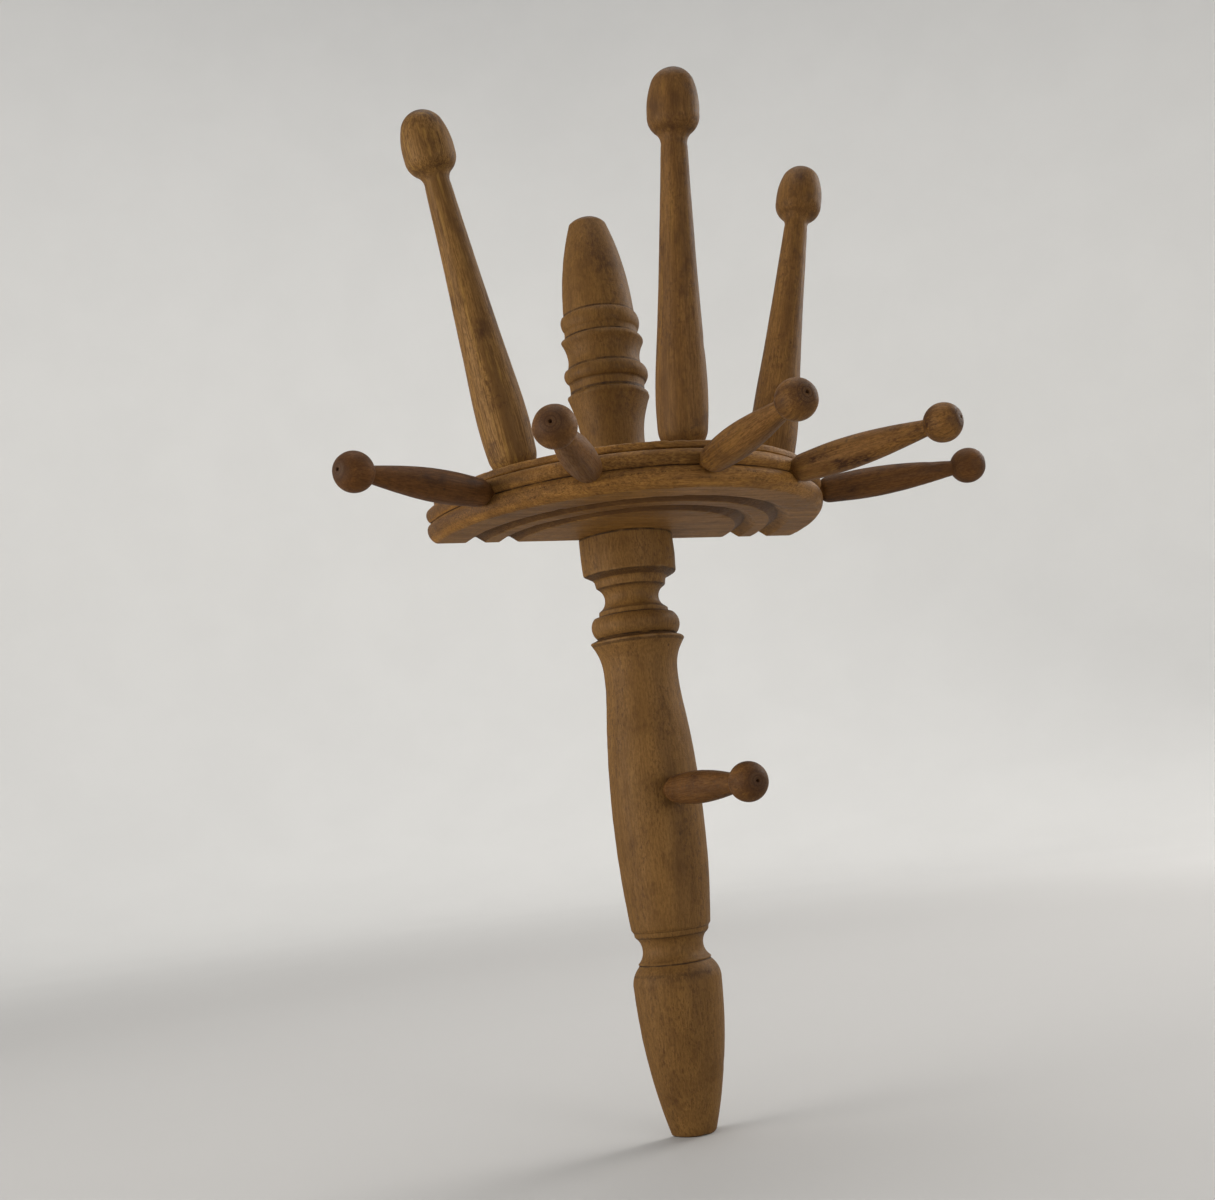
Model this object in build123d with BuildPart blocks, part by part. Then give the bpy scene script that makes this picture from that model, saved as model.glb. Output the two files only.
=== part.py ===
"""Half-round wall rack in turned beech: a split spindle with a moulded half-disc shelf and nine pegs.

Frame, millimetres: the origin is on the spindle axis, in the sawn back plane, level with the
underside of the shelf. +Z is up the spindle, +Y points into the wall, +X is to the viewer's right.
Every turned body is the front half (y <= 0) of a full turning that was sawn down the middle.
"""
import math
import os

from build123d import *

# ---------------------------------------------------------------- spindle and shelf heights
SPINDLE_FOOT_Z = -281.0
COLLAR_R = 24.1
TENON_R = 12.0
SHELF_T = 21.5
TENON_TOP_Z = SHELF_T + 18.0
FINIAL_TOP_Z = 170.0

# ---------------------------------------------------------------- shelf moulding
UNDERSIDE_R = 95.6
LOBE_R = 99.5
CREASE_R = 97.5
CREASE_Z = 9.5
QUIRK_R = 94.6
QUIRK_Z = 17.5
LIP_R = 95.3
LIP_ROUND = 1.2
GROOVE_APEX_RADII = (60.4, 77.0)
GROOVE_HALF_WIDTH = 5.0
GROOVE_DEPTH = 2.8
GROOVE_APEX_ROUND = 1.2
GROOVE_SHOULDER_Z = 2.4

# ---------------------------------------------------------------- rim pegs (and the low one)
PEG_FOOT_R = 5.0
PEG_TENON_L = 14.0
PEG_BELLY_R = 7.3
PEG_FOOT_S = 1.6
PEG_NECK_R = 3.6
PEG_BALL_R = 8.5
PEG_BALL_AT = 72.5
PEG_NECK_S = PEG_BALL_AT - math.sqrt(PEG_BALL_R**2 - PEG_NECK_R**2)
PEG_FACET_R = 3.2
PEG_FACET_S = PEG_BALL_AT + math.sqrt(PEG_BALL_R**2 - PEG_FACET_R**2)
PEG_FACET_DOME = 0.3
PEG_PIT_R = 0.9
PEG_PIT_DEPTH = 1.6
PEG_SEAT_R = 98.0
PEG_Z = 10.6
LOW_PEG_SEAT_R = 22.8
LOW_PEG_Z = -125.2
LOW_PEG_RISE = -1.0
# name, azimuth of the hole, azimuth the peg points to, rise above level (degrees)
RIM_PEGS = (
    ("rim_peg_far_left", -60.5, -63.5, 0.5),
    ("rim_peg_left", -31.0, -32.0, -1.0),
    ("rim_peg_middle", 0.0, 0.5, 2.0),
    ("rim_peg_right", 31.0, 30.0, 2.0),
    ("rim_peg_far_right", 60.5, 60.5, 2.0),
)

# ---------------------------------------------------------------- tall pegs
TALL_TENON_R = 7.5
TALL_TENON_L = 14.0
TALL_FOOT_S = 2.0
TALL_BELLY_R = 11.7
TALL_NECK_R = 5.95
TALL_HEAD_R = 11.65
TALL_NECK_S = 135.5
TALL_SHOULDER_S = 142.0
TALL_LENGTH = 170.3
TALL_SEAT_R = 75.1
# name, azimuth of the hole, azimuth of the lean, lean from upright (degrees)
TALL_PEGS = (
    ("tall_peg_left", -60.5, -62.0, 14.2),
    ("tall_peg_middle", 0.0, -0.5, 12.0),
    ("tall_peg_right", 60.5, 82.0, 14.4),
)

# ---------------------------------------------------------------- keyhole hangers
PLATE_W = 16.0
PLATE_H = 42.0
PLATE_T = 1.6
PLATE_CORNER = 3.0
KEYHOLE_ENTRY_R = 4.5
KEYHOLE_SLOT_W = 4.6
KEYHOLE_RISE = 9.0
KEYHOLE_DROP = 4.0
POCKET_SIDE = 1.5
POCKET_DEPTH = 8.0
SCREW_SPACING = 32.0
SCREW_R = 1.5
SCREW_HEAD_R = 2.75
SCREW_LENGTH = 12.0
SCREW_TIP_L = 2.5
DRIVE_R = 1.3
DRIVE_W = 0.5
DRIVE_DEPTH = 0.8
UPPER_PLATE_Z = 94.0
LOWER_PLATE_Z = -232.0

HALF_TURN = 180
FULL_TURN = 360


def heading(azimuth, rise):
    """Unit vector at an azimuth from the front (-Y) towards +X, raised above level; both in degrees."""
    a = math.radians(azimuth)
    e = math.radians(rise)
    return Vector(math.sin(a) * math.cos(e), -math.cos(a) * math.cos(e), math.sin(e))


def peg_plane(azimuth, radius, height, toward):
    """Plane on a peg's seat: its origin is on the peg axis and its normal runs out along the peg."""
    seat = heading(azimuth, 0) * radius + Vector(0, 0, height)
    return Plane(origin=seat, x_dir=Vector(0, 0, 1).cross(toward), z_dir=toward)


def open_hanger_recess(height):
    """Flush recess for a keyhole plate, the pocket behind its keyhole, and its two pilot holes."""
    with BuildSketch(Plane.XZ) as recess:
        with Locations((0, height)):
            RectangleRounded(PLATE_W, PLATE_H, PLATE_CORNER)
    extrude(recess.sketch, amount=PLATE_T, mode=Mode.SUBTRACT)
    with BuildSketch(Plane.XZ) as pocket:
        with Locations((0, height - KEYHOLE_DROP + KEYHOLE_RISE / 2)):
            SlotCenterToCenter(KEYHOLE_RISE, 2 * (KEYHOLE_ENTRY_R + POCKET_SIDE), rotation=90)
    extrude(pocket.sketch, amount=POCKET_DEPTH, mode=Mode.SUBTRACT)
    with BuildSketch(Plane.XZ) as pilots:
        with Locations((0, height)):
            with GridLocations(0, SCREW_SPACING, 1, 2):
                Circle(SCREW_R)
    extrude(pilots.sketch, amount=SCREW_LENGTH, mode=Mode.SUBTRACT)


def export(builder, name):
    """Label a finished sub-part and write its STEP file."""
    builder.part.label = name
    export_step(builder.part, f"parts/{name}.step")


rim_planes = {name: peg_plane(hole, PEG_SEAT_R, PEG_Z, heading(aim, rise)) for name, hole, aim, rise in RIM_PEGS}
tall_planes = {
    name: peg_plane(hole, TALL_SEAT_R, SHELF_T, heading(aim, 90 - lean)) for name, hole, aim, lean in TALL_PEGS
}
low_plane = peg_plane(0, LOW_PEG_SEAT_R, LOW_PEG_Z, heading(0, LOW_PEG_RISE))
os.makedirs("parts", exist_ok=True)

# ---------------------------------------------------------------- lower spindle
# The outline is drawn as (radius, height) from the foot up: vase, cove, barrel, bead, cove, collar, tenon.
with BuildPart() as lower_spindle:
    with BuildSketch(Plane.XZ):
        with BuildLine():
            Polyline((0, SPINDLE_FOOT_Z), (10.2, SPINDLE_FOOT_Z), (11.0, -280.2))
            ThreePointArc((11.0, -280.2), (18.8, -247.0), (21.7, -214.0))
            ThreePointArc((21.7, -214.0), (20.9, -208.5), (18.8, -205.3))
            Polyline((18.8, -205.3), (17.6, -204.0), (18.1, -203.2), (17.3, -202.5))
            ThreePointArc((17.3, -202.5), (15.1, -197.6), (16.8, -192.4))
            Polyline((16.8, -192.4), (17.8, -191.6), (18.4, -190.8), (18.6, -189.2), (19.7, -187.8))
            ThreePointArc((19.7, -187.8), (22.7, -136.0), (19.5, -83.2))
            Spline((19.5, -83.2), (18.75, -69.5), (20.3, -58.8), (23.9, -52.2))
            Polyline((23.9, -52.2), (23.6, -51.5), (19.9, -50.0))
            ThreePointArc((19.9, -50.0), (22.6, -44.6), (20.2, -39.3))
            Polyline((20.2, -39.3), (17.9, -38.7), (17.7, -36.6), (17.0, -36.0))
            ThreePointArc((17.0, -36.0), (13.9, -30.6), (16.9, -25.4))
            Polyline((16.9, -25.4), (17.8, -24.8), (18.4, -21.8), (19.2, -20.9), (23.0, -19.2))
            ThreePointArc((23.0, -19.2), (23.7, -18.6), (23.9, -17.6))
            Polyline((23.9, -17.6), (24.3, -10.0), (COLLAR_R, 0), (TENON_R, 0), (TENON_R, TENON_TOP_Z))
            Polyline((TENON_R, TENON_TOP_Z), (0, TENON_TOP_Z), (0, SPINDLE_FOOT_Z))
        make_face()
    revolve(axis=-Axis.Z, revolution_arc=HALF_TURN)
    open_hanger_recess(LOWER_PLATE_Z)
    with Locations(low_plane.location):
        Cylinder(PEG_FOOT_R, 2 * PEG_TENON_L, mode=Mode.SUBTRACT)
export(lower_spindle, "lower_spindle")

# ---------------------------------------------------------------- finial
# Drawn from the shelf up: flared foot, swelling, three beads parted by coves, tall bullet end.
with BuildPart() as finial:
    with BuildSketch(Plane.XZ):
        with BuildLine():
            Polyline((0, SHELF_T), (18.6, SHELF_T), (18.6, 23.0))
            Spline((18.6, 23.0), (16.7, 40.0), (17.8, 60.0), (21.5, 71.4))
            Polyline((21.5, 71.4), (21.2, 73.2), (19.7, 73.8))
            ThreePointArc((19.7, 73.8), (19.5, 76.4), (19.8, 79.0))
            Line((19.8, 79.0), (20.5, 79.2))
            ThreePointArc((20.5, 79.2), (22.1, 83.4), (20.9, 86.6))
            Line((20.9, 86.6), (19.8, 87.0))
            ThreePointArc((19.8, 87.0), (18.8, 92.0), (19.6, 97.8))
            ThreePointArc((19.6, 97.8), (21.7, 100.7), (21.0, 102.3))
            Line((21.0, 102.3), (19.9, 102.8))
            ThreePointArc((19.9, 102.8), (19.3, 105.2), (19.5, 107.3))
            Line((19.5, 107.3), (19.9, 107.5))
            ThreePointArc((19.9, 107.5), (20.6, 112.0), (19.8, 114.9))
            Polyline((19.8, 114.9), (19.1, 115.2), (18.9, 115.8))
            ThreePointArc((18.9, 115.8), (15.9, 144.0), (10.0, 166.2))
            ThreePointArc((10.0, 166.2), (5.9, 169.3), (0, FINIAL_TOP_Z))
            Line((0, FINIAL_TOP_Z), (0, SHELF_T))
        make_face()
    revolve(axis=-Axis.Z, revolution_arc=HALF_TURN)
    with Locations((0, 0, TENON_TOP_Z / 2)):
        Cylinder(TENON_R, TENON_TOP_Z, mode=Mode.SUBTRACT)
    open_hanger_recess(UPPER_PLATE_Z)
export(finial, "finial")

# ---------------------------------------------------------------- shelf
# The outline runs from the notch out along the underside, up the moulded rim, and back along the top.
with BuildPart() as shelf:
    with BuildSketch(Plane.XZ):
        with BuildLine():
            Line((TENON_R, 0), (UNDERSIDE_R, 0))
            ThreePointArc((UNDERSIDE_R, 0), (98.9, 3.0), (LOBE_R, 5.6))
            ThreePointArc((LOBE_R, 5.6), (99.1, 7.8), (CREASE_R, CREASE_Z))
            ThreePointArc((CREASE_R, CREASE_Z), (LOBE_R, 13.8), (96.6, 17.1))
            Polyline((96.6, 17.1), (QUIRK_R, QUIRK_Z), (QUIRK_R, 17.9), (LIP_R, 18.4), (LIP_R, 20.3))
            ThreePointArc((LIP_R, 20.3), (94.95, 21.15), (LIP_R - LIP_ROUND, SHELF_T))
            Polyline((LIP_R - LIP_ROUND, SHELF_T), (TENON_R, SHELF_T), (TENON_R, 0))
        make_face()
        for apex in GROOVE_APEX_RADII:
            with BuildLine():
                Line((apex - GROOVE_HALF_WIDTH, 0), (apex - GROOVE_APEX_ROUND, GROOVE_SHOULDER_Z))
                ThreePointArc(
                    (apex - GROOVE_APEX_ROUND, GROOVE_SHOULDER_Z),
                    (apex, GROOVE_DEPTH),
                    (apex + GROOVE_APEX_ROUND, GROOVE_SHOULDER_Z),
                )
                Line((apex + GROOVE_APEX_ROUND, GROOVE_SHOULDER_Z), (apex + GROOVE_HALF_WIDTH, 0))
                Line((apex + GROOVE_HALF_WIDTH, 0), (apex - GROOVE_HALF_WIDTH, 0))
            make_face(mode=Mode.SUBTRACT)
    revolve(axis=-Axis.Z, revolution_arc=HALF_TURN)
    with Locations([plane.location for plane in rim_planes.values()]):
        Cylinder(PEG_FOOT_R, 2 * PEG_TENON_L, mode=Mode.SUBTRACT)
    with Locations([plane.location for plane in tall_planes.values()]):
        Cylinder(TALL_TENON_R, 2 * TALL_TENON_L, mode=Mode.SUBTRACT)
export(shelf, "shelf")

# ---------------------------------------------------------------- short pegs
# Drawn from the tenon out: tenon, rounded foot, long belly, thin neck, ball with a turned end facet.
with BuildPart() as short_peg:
    with BuildSketch(Plane.XZ):
        with BuildLine():
            Polyline((0, -PEG_TENON_L), (PEG_FOOT_R, -PEG_TENON_L), (PEG_FOOT_R, PEG_FOOT_S))
            ThreePointArc((PEG_FOOT_R, PEG_FOOT_S), (5.8, 2.7), (6.4, 4.6))
            Spline((6.4, 4.6), (PEG_BELLY_R, 21.0), (6.5, 41.0), (PEG_NECK_R, PEG_NECK_S))
            ThreePointArc((PEG_NECK_R, PEG_NECK_S), (PEG_BALL_R, PEG_BALL_AT), (PEG_FACET_R, PEG_FACET_S))
            Line((PEG_FACET_R, PEG_FACET_S), (PEG_PIT_R, PEG_FACET_S + PEG_FACET_DOME))
            Line((PEG_PIT_R, PEG_FACET_S + PEG_FACET_DOME), (0, PEG_FACET_S - PEG_PIT_DEPTH))
            Line((0, PEG_FACET_S - PEG_PIT_DEPTH), (0, -PEG_TENON_L))
        make_face()
    revolve(axis=Axis.Z, revolution_arc=FULL_TURN)

for name, plane in (*rim_planes.items(), ("low_peg", low_plane)):
    with BuildPart() as peg:
        add(plane.location * short_peg.part)
    export(peg, name)

# ---------------------------------------------------------------- tall pegs
# Drawn from the tenon up: tenon, rounded foot, long taper, neck, acorn-shaped head.
with BuildPart() as tall_peg:
    with BuildSketch(Plane.XZ):
        with BuildLine():
            Polyline((0, -TALL_TENON_L), (TALL_TENON_R, -TALL_TENON_L), (TALL_TENON_R, TALL_FOOT_S))
            ThreePointArc((TALL_TENON_R, TALL_FOOT_S), (9.8, 5.2), (11.3, 11.0))
            Spline((11.3, 11.0), (TALL_BELLY_R, 19.0), (10.5, 50.0), (8.3, 86.0), (TALL_NECK_R, TALL_NECK_S))
            ThreePointArc((TALL_NECK_R, TALL_NECK_S), (6.4, 139.6), (8.3, TALL_SHOULDER_S))
            ThreePointArc((8.3, TALL_SHOULDER_S), (10.6, 144.6), (TALL_HEAD_R, 149.5))
            ThreePointArc((TALL_HEAD_R, 149.5), (11.2, 157.5), (9.2, 164.6))
            ThreePointArc((9.2, 164.6), (6.5, 167.9), (2.0, TALL_LENGTH - 0.2))
            Polyline((2.0, TALL_LENGTH - 0.2), (0, TALL_LENGTH), (0, -TALL_TENON_L))
        make_face()
    revolve(axis=Axis.Z, revolution_arc=FULL_TURN)

for name, plane in tall_planes.items():
    with BuildPart() as peg:
        add(plane.location * tall_peg.part)
    export(peg, name)

# ---------------------------------------------------------------- keyhole hanger plates
for name, height in (("upper_hanger_plate", UPPER_PLATE_Z), ("lower_hanger_plate", LOWER_PLATE_Z)):
    with BuildPart() as plate:
        with BuildSketch(Plane.XZ):
            with Locations((0, height)):
                RectangleRounded(PLATE_W, PLATE_H, PLATE_CORNER)
            with Locations((0, height - KEYHOLE_DROP)):
                Circle(KEYHOLE_ENTRY_R, mode=Mode.SUBTRACT)
            with Locations((0, height - KEYHOLE_DROP + KEYHOLE_RISE / 2)):
                SlotCenterToCenter(KEYHOLE_RISE, KEYHOLE_SLOT_W, rotation=90, mode=Mode.SUBTRACT)
        extrude(amount=PLATE_T)
        with Locations(Plane(origin=(0, 0, height), x_dir=(1, 0, 0), z_dir=(0, 1, 0))):
            with GridLocations(0, SCREW_SPACING, 1, 2):
                CounterSinkHole(SCREW_R, SCREW_HEAD_R, depth=PLATE_T)
    export(plate, name)

# ---------------------------------------------------------------- hanger screws
with BuildPart() as screw:
    with BuildSketch(Plane.XZ):
        with BuildLine():
            Polyline((0, -SCREW_LENGTH), (SCREW_R, SCREW_TIP_L - SCREW_LENGTH), (SCREW_R, SCREW_R - SCREW_HEAD_R))
            Polyline((SCREW_R, SCREW_R - SCREW_HEAD_R), (SCREW_HEAD_R, 0), (0, 0), (0, -SCREW_LENGTH))
        make_face()
    revolve(axis=Axis.Z, revolution_arc=FULL_TURN)
    with BuildSketch():
        Rectangle(2 * DRIVE_R, DRIVE_W)
        Rectangle(DRIVE_W, 2 * DRIVE_R)
    extrude(amount=-DRIVE_DEPTH, mode=Mode.SUBTRACT)

with BuildPart() as hanger_screws:
    for height in (UPPER_PLATE_Z, LOWER_PLATE_Z):
        for offset in (-SCREW_SPACING / 2, SCREW_SPACING / 2):
            head_plane = Plane(origin=(0, 0, height + offset), x_dir=(1, 0, 0), z_dir=(0, 1, 0))
            add(head_plane.location * screw.part)
export(hanger_screws, "hanger_screws")
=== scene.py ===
"""Looks of a wall-hung, half-round rack in turned beech: split spindle, moulded half-disc shelf, nine pegs.

Everything is in the CAD frame, in metres: the origin is on the spindle axis, in the sawn back plane,
level with the underside of the shelf; +Z is up, +Y goes into the wall, +X is to the viewer's right.
Outlines are given in millimetres and are fitted to the size of the CAD node that they stand for.
Every wooden node is replaced by a finer turned mesh; the steel plates and screws stay as packed.
"""

import math
import random

import bmesh
import bpy
import numpy as np
from mathutils import Matrix, Vector, kdtree, noise


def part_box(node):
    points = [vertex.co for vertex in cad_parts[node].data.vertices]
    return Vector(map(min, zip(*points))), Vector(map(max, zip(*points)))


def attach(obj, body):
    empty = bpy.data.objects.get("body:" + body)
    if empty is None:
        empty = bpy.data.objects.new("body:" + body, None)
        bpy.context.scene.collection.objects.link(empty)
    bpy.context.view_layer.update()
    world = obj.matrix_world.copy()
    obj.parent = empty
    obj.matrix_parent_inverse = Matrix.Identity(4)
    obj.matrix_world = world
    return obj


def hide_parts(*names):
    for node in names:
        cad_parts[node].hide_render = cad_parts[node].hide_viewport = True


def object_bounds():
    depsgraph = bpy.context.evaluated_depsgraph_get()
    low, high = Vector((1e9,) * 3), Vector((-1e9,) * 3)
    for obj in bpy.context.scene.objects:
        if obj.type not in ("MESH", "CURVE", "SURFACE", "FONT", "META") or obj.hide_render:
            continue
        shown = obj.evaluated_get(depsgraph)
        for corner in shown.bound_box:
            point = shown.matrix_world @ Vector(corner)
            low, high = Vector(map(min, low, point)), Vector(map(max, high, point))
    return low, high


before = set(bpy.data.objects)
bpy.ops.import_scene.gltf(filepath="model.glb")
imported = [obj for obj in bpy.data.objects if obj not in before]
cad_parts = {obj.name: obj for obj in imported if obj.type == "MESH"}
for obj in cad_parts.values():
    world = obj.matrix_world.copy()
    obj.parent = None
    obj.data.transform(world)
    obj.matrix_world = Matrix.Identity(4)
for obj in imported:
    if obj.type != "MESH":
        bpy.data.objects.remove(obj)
cad_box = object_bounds()

MM = 0.001
BODY = "root"
HALF_PI = math.pi / 2

# ---------------------------------------------------------------- outlines
SAMPLE_STEP = 0.2  # mm between the points that an outline is first drawn with
WEAR_PASSES = 2  # smoothing passes that take the sharpness off a turned corner, about 0.2 mm
HOLLOW_PASSES = 90  # smoothing passes of the curve that hollows and edges are measured against
ROW_LONGEST = 1.25  # mm, the longest step between two rows of a mesh
ROW_BOW = 0.012  # mm, how far a row step may cut across the outline


def straight(*points):
    """Points along the straight runs between the given (radius, height) points."""
    made = []
    for a, b in zip(points, points[1:]):
        count = max(1, math.ceil(math.dist(a, b) / SAMPLE_STEP))
        made += [np.add(a, np.subtract(b, a) * k / count) for k in range(count)]
    return made + [np.array(points[-1], float)]


def arc(start, middle, end):
    """Points along the circle arc from start through middle to end."""
    (ax, ay), (bx, by), (cx, cy) = start, middle, end
    d = 2 * (ax * (by - cy) + bx * (cy - ay) + cx * (ay - by))
    aa, bb, cc = ax * ax + ay * ay, bx * bx + by * by, cx * cx + cy * cy
    ux = (aa * (by - cy) + bb * (cy - ay) + cc * (ay - by)) / d
    uy = (aa * (cx - bx) + bb * (ax - cx) + cc * (bx - ax)) / d
    radius = math.dist(start, (ux, uy))
    first = math.atan2(ay - uy, ax - ux)
    turn = (math.atan2(cy - uy, cx - ux) - first) % math.tau
    if (math.atan2(by - uy, bx - ux) - first) % math.tau > turn:
        turn -= math.tau
    count = math.ceil(abs(turn) * radius / SAMPLE_STEP)
    angles = first + turn * np.arange(count + 1) / count
    return [np.array((ux + radius * math.cos(t), uy + radius * math.sin(t))) for t in angles]


def curve(*points):
    """Points along the natural cubic curve through the given points."""
    p = np.array(points, float)
    t = np.concatenate([[0], np.cumsum(np.hypot(*np.diff(p, axis=0).T))])
    h = np.diff(t)
    system = np.eye(len(p))
    right = np.zeros((len(p), 2))
    for i in range(1, len(p) - 1):
        system[i, i - 1 : i + 2] = h[i - 1], 2 * (h[i - 1] + h[i]), h[i]
        right[i] = 6 * ((p[i + 1] - p[i]) / h[i] - (p[i] - p[i - 1]) / h[i - 1])
    bend = np.linalg.solve(system, right)
    made = []
    for s in np.linspace(0, t[-1], math.ceil(t[-1] / SAMPLE_STEP) + 1):
        i = min(int(np.searchsorted(t, s, side="right")) - 1, len(p) - 2)
        a, b = (t[i + 1] - s) / h[i], (s - t[i]) / h[i]
        pull = ((a**3 - a) * bend[i] + (b**3 - b) * bend[i + 1]) * h[i] ** 2 / 6
        made.append(a * p[i] + b * p[i + 1] + pull)
    return made


def outline(*stretches):
    """One run of points from stretches that start where the last one ended."""
    made = [stretches[0][0]]
    for stretch in stretches:
        made += list(stretch[1:])
    return np.array(made)


def smoothed(points, passes, closed):
    """The run of points after a number of neighbour-averaging passes; the ends of an open run stay."""
    p = points.copy()
    for _ in range(passes):
        if closed:
            p = (np.roll(p, 1, 0) + 2 * p + np.roll(p, -1, 0)) / 4
        else:
            p[1:-1] = (p[:-2] + 2 * p[1:-1] + p[2:]) / 4
    return p


def thinned(points):
    """Indexes of the points to keep as mesh rows: close together in tight curves, further apart elsewhere."""
    kept = [0]
    while kept[-1] < len(points) - 1:
        a, j = kept[-1], kept[-1] + 1
        while j + 1 < len(points):
            chord = points[j + 1] - points[a]
            length = math.hypot(*chord)
            inner = points[a + 1 : j + 1] - points[a]
            bow = np.abs(inner[:, 0] * chord[1] - inner[:, 1] * chord[0]).max() / max(length, 1e-9)
            if length > ROW_LONGEST or bow > ROW_BOW:
                break
            j += 1
        kept.append(j)
    return kept


class Profile:
    """A turned outline, worn a little at its corners, in metres, with its hollows and edges measured."""

    def __init__(self, points, closed=False):
        if closed:
            points = points[:-1]
        worn = smoothed(points, WEAR_PASSES, closed)
        wide = smoothed(points, HOLLOW_PASSES, closed)
        along = np.roll(worn, -1, 0) - np.roll(worn, 1, 0)
        if not closed:
            along[0], along[-1] = worn[1] - worn[0], worn[-1] - worn[-2]
        along /= np.maximum(np.hypot(*along.T), 1e-9)[:, None]
        outward = np.c_[along[:, 1], -along[:, 0]]
        self.closed = closed
        self.hollow = ((wide - worn) * outward).sum(1)  # mm, above 0 in a hollow and below 0 on an edge
        self.points = worn * MM
        self.rows = worn[thinned(worn)] * MM
        self.tree = kdtree.KDTree(len(worn))
        for i, (r, z) in enumerate(self.points):
            self.tree.insert((r, 0, z), i)
        self.tree.balance()

    def fit(self, radius, low, high):
        """Scale the outline so that it has this greatest radius and runs from low to high."""
        old_low, old_high = self.points[:, 1].min(), self.points[:, 1].max()
        factors = np.array((radius / self.points[:, 0].max(), (high - low) / (old_high - old_low)))
        for p in (self.points, self.rows):
            p[:, 1] -= old_low
            p *= factors
            p[:, 1] += low
        return self

    def hollow_at(self, r, z):
        """How deep in a hollow, or how far out on an edge, the surface is nearest to this radius and height."""
        return self.hollow[self.tree.find((r, 0, z))[1]]


# ---------------------------------------------------------------- turned meshes
SAWN_EASE = 0.45 * MM  # rounding along the sawn edges of the split turnings
EASE_STEPS = (0.0, 0.55, 1.1)  # radians round that rounding, before the turned surface begins
SAME_POINT = 0.004 * MM  # vertices closer than this are merged
NO_LENGTH = 0.002 * MM  # edges shorter than this are dissolved


def new_object(name, verts, faces):
    """A mesh object from vertices and faces, with doubled vertices at the poles merged."""
    mesh = bpy.data.meshes.new(name)
    mesh.from_pydata(verts, [], faces)
    made = bpy.data.objects.new(name, mesh)
    bpy.context.scene.collection.objects.link(made)
    clean(made)
    return made


def clean(body):
    """Merge doubled vertices, drop faces without area and turn every face outward."""
    bm = bmesh.new()
    bm.from_mesh(body.data)
    bmesh.ops.remove_doubles(bm, verts=bm.verts, dist=SAME_POINT)
    bmesh.ops.dissolve_degenerate(bm, edges=bm.edges, dist=NO_LENGTH)
    big = [f for f in bm.faces if len(f.verts) > 4]
    bmesh.ops.triangulate(bm, faces=big)
    bmesh.ops.recalc_face_normals(bm, faces=bm.faces)
    bm.to_mesh(body.data)
    bm.free()


def half_section(r, columns, ease):
    """(x, y) points of a half round of radius r, from its left sawn edge round the front to its right one."""
    e = min(ease, 0.3 * r)
    corner = [(-(r - e) - e * math.sin(a), -e + e * math.cos(a)) for a in EASE_STEPS]
    first = -HALF_PI + (math.asin(e / r) if r > 1e-9 else 0)
    angles = first - 2 * first * np.arange(columns + 1) / columns
    front = [(r * math.sin(a), -r * math.cos(a)) for a in angles]
    return corner + front + [(-x, y) for x, y in reversed(corner)]


def half_turning(name, profile, columns):
    """The front half of a turning, closed by its flat sawn back."""
    rows = profile.rows
    verts = []
    for r, z in rows:
        ease = SAWN_EASE * (1 + 0.8 * noise.noise((0, 7, z / (6 * MM))))
        verts += [(x, y, z) for x, y in half_section(r, columns, ease)]
    width = columns + 1 + 2 * len(EASE_STEPS)
    steps = len(rows) if profile.closed else len(rows) - 1
    faces = []
    for i in range(steps):
        a, b = i * width, (i + 1) % len(rows) * width
        faces += [(a + k, a + k + 1, b + k + 1, b + k) for k in range(width - 1)]
    left = [i * width for i in range(len(rows))]
    right = [i + width - 1 for i in left]
    if profile.closed:
        faces += [left, right[::-1]]
    else:
        faces.append(left + right[::-1])
    return new_object(name, verts, faces)


def full_turning(name, profile, columns):
    """A whole turning about local Z."""
    rows = profile.rows
    angles = np.arange(columns) * math.tau / columns
    verts = [(r * math.cos(a), r * math.sin(a), z) for r, z in rows for a in angles]
    faces = []
    for i in range(len(rows) - 1):
        a, b = i * columns, (i + 1) * columns
        faces += [(a + k, a + (k + 1) % columns, b + (k + 1) % columns, b + k) for k in range(columns)]
    return new_object(name, verts, faces)


def cut(body, cutters):
    """Take the cutters' shapes out of a body for good."""
    for cutter in cutters:
        modifier = body.modifiers.new("cut", "BOOLEAN")
        modifier.operation = "DIFFERENCE"
        modifier.solver = "EXACT"
        modifier.object = cutter
    evaluated = body.evaluated_get(bpy.context.evaluated_depsgraph_get())
    made = bpy.data.meshes.new_from_object(evaluated)
    body.modifiers.clear()
    body.data = made
    for cutter in cutters:
        bpy.data.objects.remove(cutter)
    clean(body)


# ---------------------------------------------------------------- wear in the surface
SPLIT_FLAT = 0.05 * MM  # closer than this to the back plane a point belongs to the sawn flat
LONG_WAVE, SHORT_WAVE = 22 * MM, 6 * MM  # size of the unevenness that a hand-held tool leaves
CHIP_SIZE = 4.5 * MM
CHIP_EDGE = -0.1  # mm, hollow value beyond which a corner is sharp enough to chip
STAIN_RAGGED = 3.5 * MM  # size of the unevenness in a stain's outline
CREASE = 35  # degrees between faces from which an edge stays sharp


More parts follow.
